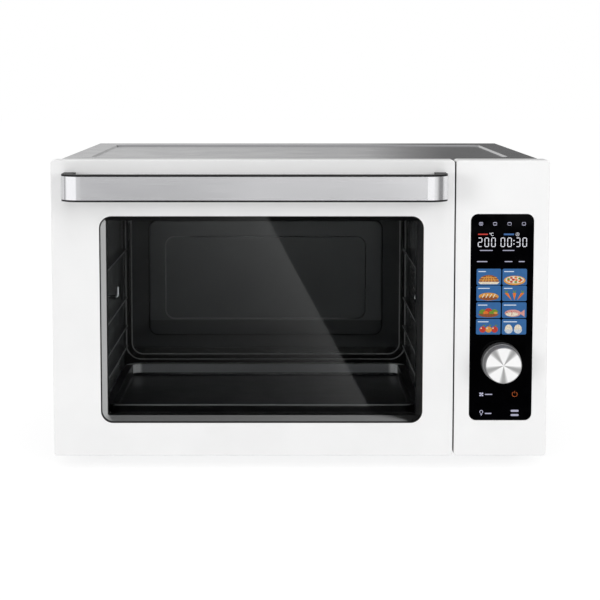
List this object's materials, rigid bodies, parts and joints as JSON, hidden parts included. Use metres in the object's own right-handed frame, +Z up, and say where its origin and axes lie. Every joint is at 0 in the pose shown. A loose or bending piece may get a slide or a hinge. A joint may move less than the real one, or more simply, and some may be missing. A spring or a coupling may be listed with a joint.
{
  "type": "mini oven",
  "caption": "Free-standing mini oven with a drop-down glazed door, bar handle, side control panel with a turning knob, racked cavity and baking tray.",
  "frame": {"origin": "middle of the whole object's footprint, on the counter", "axes": "+X to the right seen from the front, +Y from the door to the rear, +Z up"},
  "size_m": [0.55, 0.482, 0.346],
  "materials": {
    "white_front": "smooth satin white lacquer",
    "brushed_housing": "satin metal sheet with fine grain along the width",
    "zinc_sheet": "dull zinc-coated sheet",
    "steel_fasteners": "bright plated steel",
    "dark_enamel": "dark glossy oven enamel with fine speckle",
    "tray_enamel": "black enamel",
    "heater_tube": "heat-darkened steel tube",
    "bright_chrome": "polished",
    "window_clear": "clear tinted glass",
    "bezel_metal": "glossy dark frame",
    "door_liner": "black enamel",
    "handle_black": "fine satin black",
    "handle_steel": "brushed along its length",
    "silicone": "matte",
    "panel_glass": "gloss black behind glass",
    "black_plastic": "fine matte",
    "encoder_metal": "turned",
    "circuit_board": "solder mask",
    "motor_case": "plated",
    "fan_metal": "pressed sheet",
    "knob_grey": "dark grey, satin",
    "knob_face": "spun",
    "foot_rubber": "matte"
  },
  "bodies": {
    "oven": {"housing_cover": "brushed_housing", "rear_cover": "zinc_sheet", "rear_screws": "steel_fasteners", "base_plate": "zinc_sheet", "foot_screws": "steel_fasteners", "front_frame": "zinc_sheet", "hinge_brackets": "zinc_sheet", "door_seal": "silicone", "cavity_side_left": "dark_enamel", "cavity_side_right": "dark_enamel", "cavity_roof": "dark_enamel", "cavity_floor": "dark_enamel", "cavity_back": "dark_enamel", "rack_rails_left": "dark_enamel", "rack_rails_right": "dark_enamel", "heater_top": "heater_tube", "heater_bottom": "heater_tube", "heater_clips": "steel_fasteners", "thermostat_probe": "heater_tube", "partition": "zinc_sheet", "fan_housing": "zinc_sheet", "fan_motor": "motor_case", "spit_hook": "bright_chrome", "spit_motor": "motor_case", "lamp_holder": "black_plastic", "lamp_lens": "window_clear", "lamp_bulb": "window_clear", "control_fascia": "white_front", "display_glass": "panel_glass", "display_carrier": "black_plastic", "display_screen": "panel_glass", "control_board": "circuit_board", "encoder_body": "black_plastic", "power_board": "circuit_board", "cord_gland": "black_plastic", "foot_front_left": "foot_rubber", "foot_front_right": "foot_rubber", "foot_rear_left": "foot_rubber", "foot_rear_right": "foot_rubber"},
    "door": {"door_face": "white_front", "window_bezel": "bezel_metal", "window_glass": "window_clear", "door_inner_glass": "window_clear", "door_inner_panel": "door_liner", "handle_core": "handle_black", "handle_band": "handle_steel", "hinge_cradles": "zinc_sheet", "hinge_pins": "steel_fasteners", "door_springs": "steel_fasteners"},
    "tray": {"baking_tray": "tray_enamel"},
    "encoder": {"encoder_sleeve": "encoder_metal"},
    "knob": {"knob_shaft": "steel_fasteners", "knob_shell": "knob_grey", "knob_cap": "knob_face"},
    "fan": {"fan_impeller": "fan_metal", "fan_shaft": "steel_fasteners", "cooling_blade": "fan_metal"},
    "spit": {"spit_drive": "bright_chrome"}
  },
  "joints": [
    {"name": "door_hinge", "type": "hinge", "parent": "oven", "child": "door", "pos_m": [0, -0.182, 0.024], "axis": [1, 0, 0], "range_deg": [0, 80], "stiffness_Nm_per_rad": 1.5, "springref_deg": -20.05, "deforming": ["door_springs"]},
    {"name": "tray_slide", "type": "slide", "parent": "oven", "child": "tray", "axis": [0, -1, 0], "range_m": [-0.024, 0.014]},
    {"name": "knob_turn", "type": "hinge", "parent": "oven", "child": "encoder", "pos_m": [0.2235, -0.193, 0.1216], "axis": [0, 1, 0], "continuous": true},
    {"name": "knob_push", "type": "slide", "parent": "encoder", "child": "knob", "axis": [0, 1, 0], "range_m": [0, 0.0012], "stiffness_N_per_m": 800, "springref_m": -0.001},
    {"name": "fan_spin", "type": "hinge", "parent": "oven", "child": "fan", "pos_m": [0.1442, 0.0622, 0.165], "axis": [1, 0, 0], "continuous": true},
    {"name": "spit_spin", "type": "hinge", "parent": "oven", "child": "spit", "pos_m": [0.1442, -0.0548, 0.175], "axis": [1, 0, 0], "continuous": true}
  ]
}
